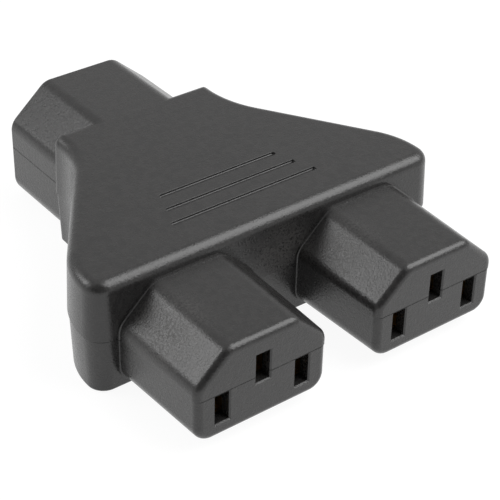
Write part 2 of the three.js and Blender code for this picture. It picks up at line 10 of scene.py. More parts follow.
import bpy
import numpy as np
from mathutils import Matrix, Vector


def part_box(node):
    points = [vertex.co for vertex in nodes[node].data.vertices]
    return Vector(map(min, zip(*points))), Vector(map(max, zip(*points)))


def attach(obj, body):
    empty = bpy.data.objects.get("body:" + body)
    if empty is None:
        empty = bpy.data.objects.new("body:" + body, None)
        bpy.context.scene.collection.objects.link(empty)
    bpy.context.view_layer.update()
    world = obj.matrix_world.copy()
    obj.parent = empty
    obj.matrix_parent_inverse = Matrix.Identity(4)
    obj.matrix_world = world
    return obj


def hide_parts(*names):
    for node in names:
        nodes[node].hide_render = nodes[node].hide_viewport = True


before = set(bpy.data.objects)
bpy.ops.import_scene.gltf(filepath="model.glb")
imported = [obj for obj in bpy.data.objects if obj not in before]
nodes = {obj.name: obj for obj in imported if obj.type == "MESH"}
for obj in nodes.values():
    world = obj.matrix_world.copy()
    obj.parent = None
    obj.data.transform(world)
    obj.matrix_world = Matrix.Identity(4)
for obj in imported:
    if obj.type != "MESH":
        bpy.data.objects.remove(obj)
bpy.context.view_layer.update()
MM = 0.001

# %% [markdown]
# The photograph was taken from the front left and from above, through a long
# lens. A camera is its place, its three angles and its focal length. Yaw turns it
# from +Y, to the left where it is positive, pitch tips it down and roll leans it.
# They could be set by eye, but here place and angles come from a fit to the slots
# and the two outlet faces. The lens is 1% longer than in that fit, because the
# render then has the photograph's size.

# %% Camera
CAMERA_PLACE = (-124.42, -171.59, 150.87)
CAMERA_YAW = math.radians(-37.94)
CAMERA_PITCH = math.radians(34.84)
CAMERA_ROLL = math.radians(1.36)
FOCAL_PIXELS = 1607
PHOTO_WIDTH = 500
SENSOR = 36
NEAREST = 0.01


def placed(right, up, back, place):
    """A matrix with three directions as its columns and a place in millimetres."""
    matrix = np.eye(4)
    matrix[:3, :4] = np.column_stack([right, up, back, np.array(place, float) * MM])
    return Matrix(matrix.tolist())


def camera_matrix():
    """Columns are the camera's right, up and back: forward is the yaw and pitch
    direction, right is level, up is right times forward, then both roll."""
    sy, cy = math.sin(CAMERA_YAW), math.cos(CAMERA_YAW)
    sp, cp = math.sin(CAMERA_PITCH), math.cos(CAMERA_PITCH)
    forward = np.array([-sy * cp, cy * cp, -sp])
    right = np.array([cy, sy, 0.0])
    up = np.cross(right, forward)
    c, s = math.cos(CAMERA_ROLL), math.sin(CAMERA_ROLL)
    rolled_right = c * right + s * up
    rolled_up = c * up - s * right
    return placed(rolled_right, rolled_up, -forward, CAMERA_PLACE)


camera_data = bpy.data.cameras.new("camera")
camera_data.sensor_width = SENSOR
camera_data.lens = FOCAL_PIXELS / PHOTO_WIDTH * SENSOR
camera_data.clip_start = NEAREST
camera = bpy.data.objects.new("camera", camera_data)
camera.matrix_world = camera_matrix()
bpy.context.scene.collection.objects.link(camera)
bpy.context.scene.camera = camera
print("lens in mm:", round(camera_data.lens, 1))

# %% [markdown]
# The housing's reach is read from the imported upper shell. The other sizes are the
# real ones, in millimetres. Each is written once, and every outline, cut and edge
# below takes its place from them. The halves stand apart by the gap, half of it on
# each side of the parting plane. The lower shell's underside is only printed: it
# has to be at zero, where the lower half below starts.

# %% Sizes of the housing
upper_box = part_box("upper_shell")
lower_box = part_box("lower_shell")
FACE_Y = upper_box[0].y / MM
RIM_Y = upper_box[1].y / MM
OUTLET_LENGTH = 18.3
INLET_LENGTH = 15.6
FRONT_Y = FACE_Y + OUTLET_LENGTH
BACK_Y = RIM_Y - INLET_LENGTH
SPLIT_Z = 9.45
SPLIT_GAP = 0.1
SPLIT_STEP = 0.2
TOP_FALL = 0.8
DRAFT = math.tan(math.radians(2))
UPPER_FOOT = SPLIT_Z + SPLIT_GAP / 2
LOWER_HEAD = SPLIT_Z - SPLIT_GAP / 2
TOP_FILLET = 1.9
TOP_INSET = 2.2
BODY_TOP = upper_box[1].z / MM + TOP_FALL * TOP_INSET / (BACK_Y - FRONT_Y)
BOTTOM_FILLET = 0.5
FRONT_HALF, BACK_HALF = 32.1, 15.3
FLANK, FLARE = 7.8, math.tan(math.radians(34.6))
SHOULDER_R, NECK_R, FRONT_R, BACK_R = 14.0, 16.0, 3.3, 1.6
OUTLET_X = 16.15
NOSE_WIDTH, NOSE_HEIGHT, NOSE_LIFT = 23.0, 14.8, 1.7
NOSE_CHAMFER = (5.5, 5.1)
NOSE_BOTTOM_R, NOSE_EDGE_R = 2.8, 2.6
NOSE_DRAFT = math.tan(math.radians(1.5))
SHROUD_WIDTH, SHROUD_TOP = 27.4, 19.95
SHROUD_CHAMFER = (6.9, 6.0)
SHROUD_BOTTOM_R, SHROUD_EDGE_R = 3.6, 3.0
WALL = 1.5
RECESS_DEPTH = 16.1
print("housing from", round(FACE_Y, 2), "to", round(RIM_Y, 2), "and up to", round(BODY_TOP, 2))
print("underside at", round(lower_box[0].z / MM, 2))

# %% [markdown]
# Every section of the housing is an outline whose corners are arcs. The corner
# points and radii describe it, and a draft or a fillet moves all sides inwards by
# one distance. Scaling the outline would be shorter to write, but it would thin long
# walls more than short ones, and moving the sides keeps them parallel.

# %% Outlines with round corners
SMALLEST_RADIUS = 0.04
ARC_SHARE = 0.99


def inset(corners, distance):
    """Corner points (x, y, radius), counter-clockwise, with each side moved
    inwards. A new corner is the old one plus the distance times the sum of the
    two inward normals, over one plus their product."""
    points = np.array(corners, float)
    place, radius = points[:, :2], points[:, 2]
    ahead = np.roll(place, -1, 0) - place
    ahead /= np.linalg.norm(ahead, axis=1)[:, None]
    behind = np.roll(ahead, 1, 0)
    normal_on = np.column_stack([-ahead[:, 1], ahead[:, 0]])
    normal_back = np.column_stack([-behind[:, 1], behind[:, 0]])
    product = (normal_on * normal_back).sum(1)
    moved = place + distance * (normal_on + normal_back) / (1 + product)[:, None]
    turn = np.sign(behind[:, 0] * ahead[:, 1] - behind[:, 1] * ahead[:, 0])
    return np.column_stack([moved, np.maximum(radius - turn * distance, SMALLEST_RADIUS)])


def rounded(corners, steps):
    """Points of the outline: each corner is an arc of steps pieces, tangent to its
    two sides. The arc's reach is the radius over the tangent of half the corner's
    angle, and reaches that would meet on a short side share it. Its centre lies on
    the middle line, the reach over the cosine of half the angle away."""
    points = np.array(corners, float)
    place, radius = points[:, :2], points[:, 2]
    ahead = np.roll(place, -1, 0) - place
    length = np.linalg.norm(ahead, axis=1)
    ahead /= length[:, None]
    back = -np.roll(ahead, 1, 0)
    half = np.arccos(np.clip((ahead * back).sum(1), -1, 1)) / 2
    wanted = radius / np.tan(half)
    share = np.minimum(1, ARC_SHARE * length / (wanted + np.roll(wanted, -1)))
    reach = wanted * np.minimum(share, np.roll(share, 1))
    middle = ahead + back
    middle /= np.linalg.norm(middle, axis=1)[:, None]
    centre = place + middle * (reach / np.cos(half))[:, None]
    start = place + back * reach[:, None] - centre
    end = place + ahead * reach[:, None] - centre
    sweep = np.arctan2(start[:, 0] * end[:, 1] - start[:, 1] * end[:, 0], (start * end).sum(1))
    angle = sweep[:, None] * np.linspace(0, 1, steps + 1)[None, :]
    c, s = np.cos(angle), np.sin(angle)
    x = centre[:, :1] + start[:, :1] * c - start[:, 1:] * s
    y = centre[:, 1:] + start[:, :1] * s + start[:, 1:] * c
    return np.column_stack([x.ravel(), y.ravel()])


def mirrored(right):
    """The right half's corners, then the same ones on the left in reverse order, so
    that the outline still runs counter-clockwise."""
    return right + [(-x, y, r) for x, y, r in right[::-1]]


def connector(width, bottom, top, chamfer, bottom_r, edge_r):
    """A connector's section: flat bottom, upright sides, two slanted shoulders."""
    half = width / 2
    return mirrored([
        (half, bottom, bottom_r),
        (half, top - chamfer[1], edge_r),
        (half - chamfer[0], top, edge_r),
    ])


shoulder_y = FRONT_Y + FLANK
BODY = mirrored([
    (FRONT_HALF, FRONT_Y, FRONT_R),
    (FRONT_HALF, shoulder_y, SHOULDER_R),
    (BACK_HALF, shoulder_y + (FRONT_HALF - BACK_HALF) / FLARE, NECK_R),
    (BACK_HALF, BACK_Y, BACK_R),
])
nose_top = NOSE_LIFT + NOSE_HEIGHT
NOSE = connector(NOSE_WIDTH, NOSE_LIFT, nose_top, NOSE_CHAMFER, NOSE_BOTTOM_R, NOSE_EDGE_R)
SHROUD = connector(SHROUD_WIDTH, 0, SHROUD_TOP, SHROUD_CHAMFER, SHROUD_BOTTOM_R, SHROUD_EDGE_R)
print("outlines with", len(BODY), "and", len(NOSE), "corners")

# %% [markdown]
# A solid is then a stack of such outlines, joined ring to ring, with its two ends
# closed. Blender could also extrude and bevel, but a stack gives the draft, the
# rounded edge and the sloping top in one go, and its faces stay in neat rows. The
# body is stacked upwards, and the noses and the shroud from front to back.

# %% Stacks of outlines
ARC_STEPS = 14
FILLET_STEPS = 12


def mesh_object(name, vertices, faces):
    """A mesh from points in millimetres and faces, with its place in the mesh."""
    mesh = bpy.data.meshes.new(name)
    mesh.from_pydata((np.asarray(vertices) * MM).tolist(), [], faces)
    mesh.validate()
    piece = bpy.data.objects.new(name, mesh)
    bpy.context.scene.collection.objects.link(piece)
    return piece


def stack(name, rings):
    """Quads between neighbouring rings, (i, i+1) on one and (i+1, i) on the next,
    and one polygon on each end."""
    rings = np.asarray(rings)
    levels, count, _ = rings.shape
    grid = np.arange(levels * count).reshape(levels, count)
    a, b = grid[:-1], np.roll(grid, -1, 1)[:-1]
    quads = np.stack([a, b, b + count, a + count], -1).reshape(-1, 4)
    faces = quads.tolist() + [grid[0][::-1].tolist(), grid[-1].tolist()]
    return mesh_object(name, rings.reshape(-1, 3), faces)


def lean(y, z):
    """Height at y of what lies at z by the inlet: above the split, the drop grows
    with the share of the height and with the distance from the back wall."""
    share = np.maximum(0, z - UPPER_FOOT) / (BODY_TOP - UPPER_FOOT)
    return z - TOP_FALL * share * (BACK_Y - y) / (BACK_Y - FRONT_Y)


def body_stack(name, levels):
    """One ring of the bell-shaped plan for each (height, inset) pair, leaning."""
    rings = []
    for z, distance in levels:
        flat = rounded(inset(BODY, distance), ARC_STEPS)
        rings.append(np.column_stack([flat, lean(flat[:, 1], np.full(len(flat), z))]))
    return stack(name, rings)


def connector_stack(name, corners, stations, x=0.0):
    """One ring of a connector's section for each (y, inset) pair. The rings run
    clockwise, because they are stacked along +Y and their faces have to look out."""
    rings = []
    for y, distance in stations:
        flat = rounded(inset(corners, distance), ARC_STEPS)[::-1]
        rings.append(np.column_stack([flat[:, 0] + x, np.full(len(flat), y), flat[:, 1]]))
    return stack(name, rings)


def quarter(start, radius, way, begin=0.0):
    """A quarter circle as (place, inset) pairs, from the wall to the end: the place
    goes with the sine and the inset with one minus the cosine."""
    angle = np.linspace(0, math.pi / 2, FILLET_STEPS + 1)
    return list(zip(start + way * radius * np.sin(angle), begin + radius * (1 - np.cos(angle))))


def box_object(name, x0, x1, y0, y1, z0, z1):
    """A rectangular cutter as a stack of two four-point rings."""
    ring = np.array([(x0, y0), (x1, y0), (x1, y1), (x0, y1)], float)
    return stack(name, [np.column_stack([ring, np.full(4, z)]) for z in (z0, z1)])


print("one ring of the body has", len(rounded(BODY, ARC_STEPS)), "points")

# %% [markdown]
# A mould is cut from parts that meet in plain edges. The Boolean modifier does the
# same with meshes: it joins, cuts, or keeps what two solids share. It is applied at
# once, so that the finished piece is plain mesh and the helpers can go.

# %% Cutting and joining
def combine(target, others, operation):
    """Applies one Boolean after another and removes the helpers."""
    for other in others:
        step = target.modifiers.new("step", "BOOLEAN")
        step.operation = operation
        step.solver = "EXACT"
        step.object = other
        bpy.context.view_layer.update()
        graph = bpy.context.evaluated_depsgraph_get()
        result = bpy.data.meshes.new_from_object(target.evaluated_get(graph))
        target.modifiers.clear()
        old = target.data
        target.data = result
        bpy.data.meshes.remove(old)
        bpy.data.objects.remove(other)
    return target


# %% [markdown]
# The body's upper half rises with a little draft to a wide rounded edge, and its
# lower half goes down to a tight one. The lower half is set in by a fifth of a
# millimetre, which gives the shadow line that runs round the adapter. Both halves
# are rounded at the line by a hair, so that it catches light. The noses are set in
# below the line too, and a thin collar goes round each nose where it meets the body.
# The shroud starts inside the body and comes out flush with its top.

# %% Body halves
LINE_ROUND = 0.12
COLLAR_LENGTH, COLLAR_PROUD = 0.4, 0.16
COLLAR_RISE, COLLAR_SUNK = 0.12, 0.05
FACE_FILLET = 1.15
RIM_FILLET = 0.4
NOSE_STEP = 0.13
ROOT_DEPTH = 2
SHROUD_DIVE, SHROUD_SUNK, SHROUD_OVERLAP = 1.5, 0.08, 0.1
SLAB_HALF, SLAB_BOTTOM, SLAB_TOP = 60, -20, 40


def upper_levels():
    """From the parting line up: the hair's rounding, the wall and the top edge. The
    wall's inset is its height times the draft."""
    wall_top = BODY_TOP - TOP_FILLET
    draft = (wall_top - SPLIT_Z) * DRAFT
    line = quarter(UPPER_FOOT + LINE_ROUND, LINE_ROUND, -1)[::-1]
    return line + quarter(wall_top, TOP_FILLET, 1, draft)


def lower_levels():
    """From the underside up: the tight edge, the wall and the hair's rounding. The
    edge's inset is the step plus the wall's height times the draft."""
    wall_end = BOTTOM_FILLET
    draft = SPLIT_STEP + (SPLIT_Z - wall_end) * DRAFT
    line = quarter(LOWER_HEAD - LINE_ROUND, LINE_ROUND, 1, SPLIT_STEP)
    return quarter(wall_end, BOTTOM_FILLET, -1, draft)[::-1] + line


def nose_stations(step):
    """From the face back to the root. A step sets the whole nose in, and the sides
    grow by the draft times the length."""
    root = FRONT_Y + ROOT_DEPTH
    face = quarter(FACE_Y + FACE_FILLET, FACE_FILLET, -1, step)[::-1]
    return face + [(root, step - (root - FACE_Y) * NOSE_DRAFT)]


def collar_stations():
    """A thin step round the nose's root: it starts just inside the nose, which has
    grown by its draft times its length, and stands a hair proud of it."""
    growth = (FRONT_Y - FACE_Y) * NOSE_DRAFT
    start = FRONT_Y - COLLAR_LENGTH
    proud = -growth - COLLAR_PROUD
    return [
        (start, -growth + COLLAR_SUNK),
        (start + COLLAR_RISE, proud),
        (FRONT_Y + ROOT_DEPTH, proud),
    ]


def shroud_stations():
    """From inside the body, where it lies a little lower, out to the rounded rim."""
    start = BACK_Y - TOP_INSET
    inside = [(start - SHROUD_DIVE, SHROUD_SUNK), (start + SHROUD_OVERLAP, 0.0)]
    return inside + quarter(RIM_Y - RIM_FILLET, RIM_FILLET, 1)


def slab(name, upper):
    """Everything above or below the parting plane."""
    bottom, top = (UPPER_FOOT, SLAB_TOP) if upper else (SLAB_BOTTOM, LOWER_HEAD)
    return box_object(name, -SLAB_HALF, SLAB_HALF, -SLAB_HALF, SLAB_HALF, bottom, top)


print("levels:", len(upper_levels()), "above the line and", len(lower_levels()), "below")

# %% [markdown]
# The noses carry three slots each, with chambers behind them, and the shroud has a
# recess with a window in its floor for the pin block. Slots could be plain boxes,
# but a moulded edge is never sharp, so each gets a small flare at its mouth.

# %% Cutters
POLES = [(-7.0, 6.7), (7.0, 6.7), (0.0, 10.7)]
SLOT = (2.4, 4.9)
CHAMBER = (4.4, 6.2)
MOUTH = 0.22
FACE_WALL = 1.9
STEP_LENGTH = 0.001
CUT_PAST = 1
CHAMBER_REACH = 3
WINDOW_DEPTH, WINDOW_INSET = 7, 2
HOLLOW_FLOOR, HOLLOW_ROOF = 2, 18
HOLLOW_INSET, HOLLOW_WAIST = 2.5, 2.2


def slot_cutter(name, x, z):
    """Rings of a slot: wide at the mouth, true size behind it, then the chamber."""
    corners = np.array([(-0.5, -0.5), (-0.5, 0.5), (0.5, 0.5), (0.5, -0.5)])
    mouth = (SLOT[0] + 2 * MOUTH, SLOT[1] + 2 * MOUTH)
    wall_end = FACE_Y + FACE_WALL
    stations = [
        (FACE_Y - CUT_PAST, mouth),
        (FACE_Y, mouth),
        (FACE_Y + MOUTH, SLOT),
        (wall_end, SLOT),
        (wall_end + STEP_LENGTH, CHAMBER),
        (FRONT_Y + CHAMBER_REACH, CHAMBER),
    ]
    rings = []
    for y, size in stations:
        flat = corners * size + (x, z)
        rings.append(np.column_stack([flat[:, 0], np.full(len(flat), y), flat[:, 1]]))
    return stack(name, rings)


def housing_cutters():
    """The six slots, the recess and the window in the recess's floor."""
    slots = [slot_cutter("slot", x + side * OUTLET_X, z) for side in (-1, 1) for x, z in POLES]
    floor_y = RIM_Y - RECESS_DEPTH
    recess = connector_stack("recess", SHROUD, [(floor_y, WALL), (RIM_Y + CUT_PAST, WALL)])
    edge = WALL + WINDOW_INSET
    stations = [(floor_y - WINDOW_DEPTH, edge), (floor_y + CUT_PAST, edge)]
    window = connector_stack("window", SHROUD, stations)
    return slots + [recess, window]


def body_hollow():
    """The space inside the body: the plan, set in a little less at the waist."""
    levels = [(HOLLOW_FLOOR, HOLLOW_INSET), (SPLIT_Z, HOLLOW_WAIST), (HOLLOW_ROOF, HOLLOW_INSET)]
    return body_stack("hollow", levels)


print("slots of", SLOT, "mm, and a recess", RECESS_DEPTH, "mm deep")

# %% [markdown]
# Three shallow grooves run across the top for grip, shorter towards the inlet. They
# are flat-bottomed, with round ends and softened lips, and a small dark pit shows at
# each end. A bump in the material would do from afar, but a groove has to show from
# every side, so each one is cut by a stack of long outlines. Each entry below is a
# groove's place along Y and its half length.

# %% Grip grooves
GROOVES = [(-10.65, 13.55), (-7.2, 12.15), (-3.7, 10.95)]
GROOVE_HALF, GROOVE_DEPTH, GROOVE_LIP = 0.42, 0.38, 0.05
LIP_SHARE = 0.4
FLOOR_SET_IN, CORNER_SET_IN, CORNER_RISE = 0.1, 0.02, 0.08
CUT_ABOVE = 0.6
PIT_RADIUS, PIT_DEPTH = 0.22, 0.6
PIT_STEPS = 16
PIT_SHOULDER = 0.5
PIT_FROM_END = 0.35


def groove_cutter(y, half):
    """Rings of a long outline with round ends, for (rise, inset) pairs from the floor
    up: a softened corner, the wall, and a lip that opens outwards at the surface."""
    w = GROOVE_HALF
    corners = [(-half, y - w, w), (half, y - w, w), (half, y + w, w), (-half, y + w, w)]
    profile = [
        (-GROOVE_DEPTH, FLOOR_SET_IN),
        (-GROOVE_DEPTH + CORNER_RISE, CORNER_SET_IN),
        (-GROOVE_LIP, 0),
        (-GROOVE_LIP * LIP_SHARE, -GROOVE_LIP * LIP_SHARE),
        (0, -GROOVE_LIP),
        (CUT_ABOVE, -GROOVE_LIP),
    ]
    rings = []
    for rise, distance in profile:
        flat = rounded(inset(corners, distance), ARC_STEPS)
        rings.append(np.column_stack([flat, lean(flat[:, 1], np.full(len(flat), BODY_TOP)) + rise]))
    return stack("groove", rings)


def pit_cutter(x, y):
    """A round pit: circles (radius cos a, radius sin a), the lowest one half as wide."""
    angle = np.linspace(0, 2 * math.pi, PIT_STEPS + 1)[:-1]
    circle = np.column_stack([np.cos(angle), np.sin(angle)])
    top = float(lean(y, BODY_TOP))
    levels = [(PIT_RADIUS / 2, -PIT_DEPTH), (PIT_RADIUS, -PIT_SHOULDER), (PIT_RADIUS, PIT_SHOULDER)]
    rings = []
    for radius, rise in levels:
        rings.append(np.column_stack([circle * radius + (x, y), np.full(PIT_STEPS, top + rise)]))
    return stack("pit", rings)


print("grooves with half lengths", [half for _, half in GROOVES])

# %% [markdown]
# Now the two shells, which are what the mould makes: a body half with the halves of
# the noses and of the shroud, less the hollow, the slots, the recess and the
# grooves. They could be modelled as one housing and split, but the halves differ
# at the parting line, so each is built by itself from the same outlines.

# %% Shells
def shell(name, upper):
    """Joins the arms to a body half and cuts everything that is open in it."""
    body = body_stack(name, upper_levels() if upper else lower_levels())
    stations = nose_stations(0 if upper else NOSE_STEP)
    arms = [connector_stack("nose", NOSE, stations, side * OUTLET_X) for side in (-1, 1)]
    arms += [connector_stack("collar", NOSE, collar_stations(), side * OUTLET_X) for side in (-1, 1)]
    arms.append(connector_stack("shroud", SHROUD, shroud_stations()))
    for arm in arms:
        combine(arm, [slab("half", upper)], "INTERSECT")
    combine(body, arms, "UNION")
    combine(body, [body_hollow()] + housing_cutters(), "DIFFERENCE")
    if upper:
        grooves = [groove_cutter(y, half) for y, half in GROOVES]
        pits = [pit_cutter(side * (half - PIT_FROM_END), y) for y, half in GROOVES for side in (-1, 1)]
        combine(body, grooves + pits, "DIFFERENCE")
    return body


upper_piece = shell("upper_housing", True)
lower_piece = shell("lower_housing", False)
for piece in (upper_piece, lower_piece):
    print(piece.name, "has", len(piece.data.polygons), "faces")

# %% [markdown]
# The real faces are flat and their edges are round. Smooth shading alone would bend
# the flat faces' light towards the edges. So edges steeper than an angle are marked
# sharp, and normals weighted by area keep flat faces flat right up to their edges.

# %% Smooth shading
SHARP_ANGLE = math.radians(32)
AREA_WEIGHT = 100


def smooth(piece):
    """Smooth faces, sharp edges above the angle, and area-weighted normals."""
    mesh = piece.data
    mesh.polygons.foreach_set("use_smooth", np.ones(len(mesh.polygons), bool))
    mesh.set_sharp_from_angle(angle=SHARP_ANGLE)
    weighted = piece.modifiers.new("weighted_normals", "WEIGHTED_NORMAL")
    weighted.keep_sharp = True
    weighted.weight = AREA_WEIGHT


for piece in (upper_piece, lower_piece):
    smooth(piece)
    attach(piece, "root")
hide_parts("upper_shell")
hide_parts("lower_shell")
print("smoothed", upper_piece.name, "and", lower_piece.name)

# %% [markdown]
# Moulded plastic has a fine grain, and handling leaves faint smears and rubbed,
# speckled patches. Image textures could carry them, but noise on the object's own
# coordinates has the right scale everywhere and needs no unwrapping. Several
# materials use these effects, so each is a node group that gives heights or masks.
# A noise is given by its cells in a metre, its detail and its roughness, and a mask
# by the two noise values between which it grows from nothing to full.

# %% Node groups
GRAIN_FINE = (3600, 2, 0.6)
GRAIN_COARSE = (900, 3, 0.55)
SMEAR = (95, 5, 0.65)
SMEAR_BREAKS = (1700, 4, 0.7)
SPECKLE = (3200, 3, 0.7)
SMEAR_RANGE = (0.56, 0.72)
BREAK_RANGE = (0.45, 0.62)
SPECKLE_RANGE = (0.42, 0.6)


def new_group(name, inputs, outputs):
    """An empty shader group with float inputs {name: default} and outputs."""
    group = bpy.data.node_groups.new(name, "ShaderNodeTree")
    for label, value in inputs.items():
        socket = group.interface.new_socket(label, in_out="INPUT", socket_type="NodeSocketFloat")
        socket.default_value = value
    for label in outputs:
        group.interface.new_socket(label, in_out="OUTPUT", socket_type="NodeSocketFloat")
    return group, group.nodes.new("NodeGroupInput"), group.nodes.new("NodeGroupOutput")


def noise(tree, scale, detail, roughness):
    """Noise on object coordinates; the scale is in cells per metre."""
    place = tree.nodes.new("ShaderNodeTexCoord")
    node = tree.nodes.new("ShaderNodeTexNoise")
    node.inputs["Scale"].default_value = scale
    node.inputs["Detail"].default_value = detail
    node.inputs["Roughness"].default_value = roughness
    tree.links.new(place.outputs["Object"], node.inputs["Vector"])
    return node


def math_node(tree, operation, first, second=None):
    """A Math node; a number is set on its socket and a socket is linked."""
    node = tree.nodes.new("ShaderNodeMath")
    node.operation = operation
    for socket, value in zip(node.inputs, (first, second)):
        if isinstance(value, (int, float)):
            socket.default_value = value
        elif value is not None:
            tree.links.new(value, socket)
    return node.outputs[0]


def ramp(tree, source, low, high):
    """Zero below low, one above high, straight between."""
    node = tree.nodes.new("ShaderNodeMapRange")
    node.inputs["From Min"].default_value = low
    node.inputs["From Max"].default_value = high
    tree.links.new(source, node.inputs["Value"])
    return node.outputs["Result"]


def grain_group():
    """Height is the fine noise times its share plus the coarse one times its share,
    and Tone is the coarse noise alone."""
    group, given, out = new_group("moulded_grain", {"Fine": 1.0, "Coarse": 0.4}, ["Height", "Tone"])
    fine = noise(group, *GRAIN_FINE)
    coarse = noise(group, *GRAIN_COARSE)
    first = math_node(group, "MULTIPLY", fine.outputs["Fac"], given.outputs["Fine"])
    second = math_node(group, "MULTIPLY", coarse.outputs["Fac"], given.outputs["Coarse"])
    group.links.new(math_node(group, "ADD", first, second), out.inputs["Height"])
    group.links.new(coarse.outputs["Fac"], out.inputs["Tone"])
    return group


def scuff_group():
    """Smears from handling: the peaks of a slow noise, times the peaks of a finer
    one that breaks them up, times the amount."""
    group, given, out = new_group("handling_scuffs", {"Amount": 1.0}, ["Mask"])
    slow = noise(group, *SMEAR)
    quick = noise(group, *SMEAR_BREAKS)
    peaks = ramp(group, slow.outputs["Fac"], *SMEAR_RANGE)
    broken = ramp(group, quick.outputs["Fac"], *BREAK_RANGE)
    mask = math_node(group, "MULTIPLY", peaks, broken)
    group.links.new(math_node(group, "MULTIPLY", mask, given.outputs["Amount"]), out.inputs["Mask"])
    return group


def patch_group():
    """A rubbed patch: one at its centre and none at its radius, times a speckle of
    fine noise. The centre is in metres in the object's own coordinates."""
    inputs = {"X": 0.0, "Y": 0.0, "Z": 0.0, "Radius": 0.005, "Amount": 1.0}
    group, given, out = new_group("rubbed_patch", inputs, ["Mask"])
    speckle = noise(group, *SPECKLE)
    centre = group.nodes.new("ShaderNodeCombineXYZ")
    for label in "XYZ":
        group.links.new(given.outputs[label], centre.inputs[label])
    place = group.nodes.new("ShaderNodeTexCoord")
    distance = group.nodes.new("ShaderNodeVectorMath")
    distance.operation = "DISTANCE"
    group.links.new(place.outputs["Object"], distance.inputs[0])
    group.links.new(centre.outputs[0], distance.inputs[1])
    share = math_node(group, "DIVIDE", distance.outputs["Value"], given.outputs["Radius"])
    near = math_node(group, "MAXIMUM", math_node(group, "SUBTRACT", 1.0, share), 0.0)
    dots = ramp(group, speckle.outputs["Fac"], *SPECKLE_RANGE)
    mask = math_node(group, "MULTIPLY", near, dots)
    group.links.new(math_node(group, "MULTIPLY", mask, given.outputs["Amount"]), out.inputs["Mask"])
    return group


def use(tree, group, **values):
    """Places a group in a material with its own values."""
    node = tree.nodes.new("ShaderNodeGroup")
    node.node_tree = group
    for label, value in values.items():
        node.inputs[label].default_value = value
    return node


GRAIN = grain_group()
SCUFFS = scuff_group()
PATCH = patch_group()
print("node groups:", GRAIN.name, SCUFFS.name, PATCH.name)

# %% [markdown]
# The housing's plastic is charcoal, nearly black, with a satin gloss. Its light
# parts are wear: scuffs and rubbed patches make it lighter and rougher, so one mask
# drives both colour and roughness. The grain reaches the normal through a Bump node,
# because it is far too fine to be mesh. The block and the separator inside are of a
# duller insulating plastic.

# %% Plastic
TONE_RANGE = (0.3, 0.7)
TONE_SHARE = 0.25
PLASTIC_GLOSS = 0.58
PLASTIC_GRAIN = {"Fine": 1.0, "Coarse": 0.3}
PLASTIC_BUMP = 0.00005


def mix_colour(tree, mask, dark, light):
    """The first colour where the mask is zero and the second where it is one. A
    colour Mix has its colours on sockets 6 and 7 and its result on socket 2."""
    node = tree.nodes.new("ShaderNodeMix")
    node.data_type = "RGBA"
    node.inputs[6].default_value = (*dark, 1)
    node.inputs[7].default_value = (*light, 1)
    tree.links.new(mask, node.inputs[0])
    return node.outputs[2]


def material(name):
    """A new material with its node tree and its shader."""
    made = bpy.data.materials.new(name)
    made.use_nodes = True
    return made, made.node_tree, made.node_tree.nodes["Principled BSDF"]


def bump(tree, shader, height, strength, distance):
    """Sends a height to the shader's normal; the distance is in metres."""
    node = tree.nodes.new("ShaderNodeBump")
    node.inputs["Strength"].default_value = strength
    node.inputs["Distance"].default_value = distance
    tree.links.new(height, node.inputs["Height"])
    tree.links.new(node.outputs["Normal"], shader.inputs["Normal"])


def plastic(name, dark, light, roughness, worn_roughness, grain, scuffs, patches=()):
    """Charcoal plastic. The wear mask is the largest of the tone's share, the scuffs
    and the rubbed patches; colour and roughness go with it from fresh to worn."""
    made, tree, shader = material(name)
    texture = use(tree, GRAIN, **PLASTIC_GRAIN)
    marks = use(tree, SCUFFS, Amount=scuffs)
    tone = math_node(tree, "MULTIPLY", ramp(tree, texture.outputs["Tone"], *TONE_RANGE), TONE_SHARE)
    mask = math_node(tree, "MAXIMUM", tone, marks.outputs["Mask"])
    for x, y, z, radius, amount in patches:
        rubbed = use(tree, PATCH, X=x * MM, Y=y * MM, Z=z * MM, Radius=radius * MM, Amount=amount)
        mask = math_node(tree, "MAXIMUM", mask, rubbed.outputs["Mask"])
    tree.links.new(mix_colour(tree, mask, dark, light), shader.inputs["Base Color"])
    spread = math_node(tree, "MULTIPLY", mask, worn_roughness - roughness)
    tree.links.new(math_node(tree, "ADD", spread, roughness), shader.inputs["Roughness"])
    shader.inputs["Specular IOR Level"].default_value = PLASTIC_GLOSS
    bump(tree, shader, texture.outputs["Height"], grain, PLASTIC_BUMP)
    return made


# %% [markdown]
# The photograph shows light marks on the wall between the noses and on the left
# shoulder of each nose. Each row is such a place: a centre, a radius and an amount.
# An image would need the marks drawn one by one; a patch of speckle is enough here.

# %% The housing's own finish
RUBBED = [
    (1.5, -18.2, 12.5, 7.0, 2.2),
    (-25.5, -26.0, 14.0, 9.0, 1.8),
    (7.5, -25.0, 14.0, 8.0, 1.4),
]
CHARCOAL, WORN_CHARCOAL = (0.02, 0.0195, 0.0195), (0.055, 0.053, 0.051)
BLACK, WORN_BLACK = (0.028, 0.028, 0.03), (0.05, 0.05, 0.052)
HOUSING = plastic(
    "housing_plastic", CHARCOAL, WORN_CHARCOAL,
    roughness=0.25, worn_roughness=0.42, grain=0.9, scuffs=0.4, patches=RUBBED,
)
INSULATION = plastic(
    "insulation_plastic", BLACK, WORN_BLACK,
    roughness=0.5, worn_roughness=0.62, grain=0.3, scuffs=0.2,
)
print("plastics:", HOUSING.name, "and", INSULATION.name)

# %% [markdown]
# The pins are nickel plated, and the springs, bars and rivets are rolled brass. A
# metal has no colour of its own under its gloss, so its finish shows mostly in its
# roughness: the coarse grain varies that, and stains make the metal duller. The
# brass's colour is set darker than brass is: painted shade for the contacts that
# sit deep in the slots.

# %% Metals
METAL_GRAIN = {"Fine": 0.4, "Coarse": 1.0}
METAL_SPREAD, METAL_DROP = 0.22, 0.1
METAL_BUMP_STRENGTH, METAL_BUMP = 0.15, 0.00003


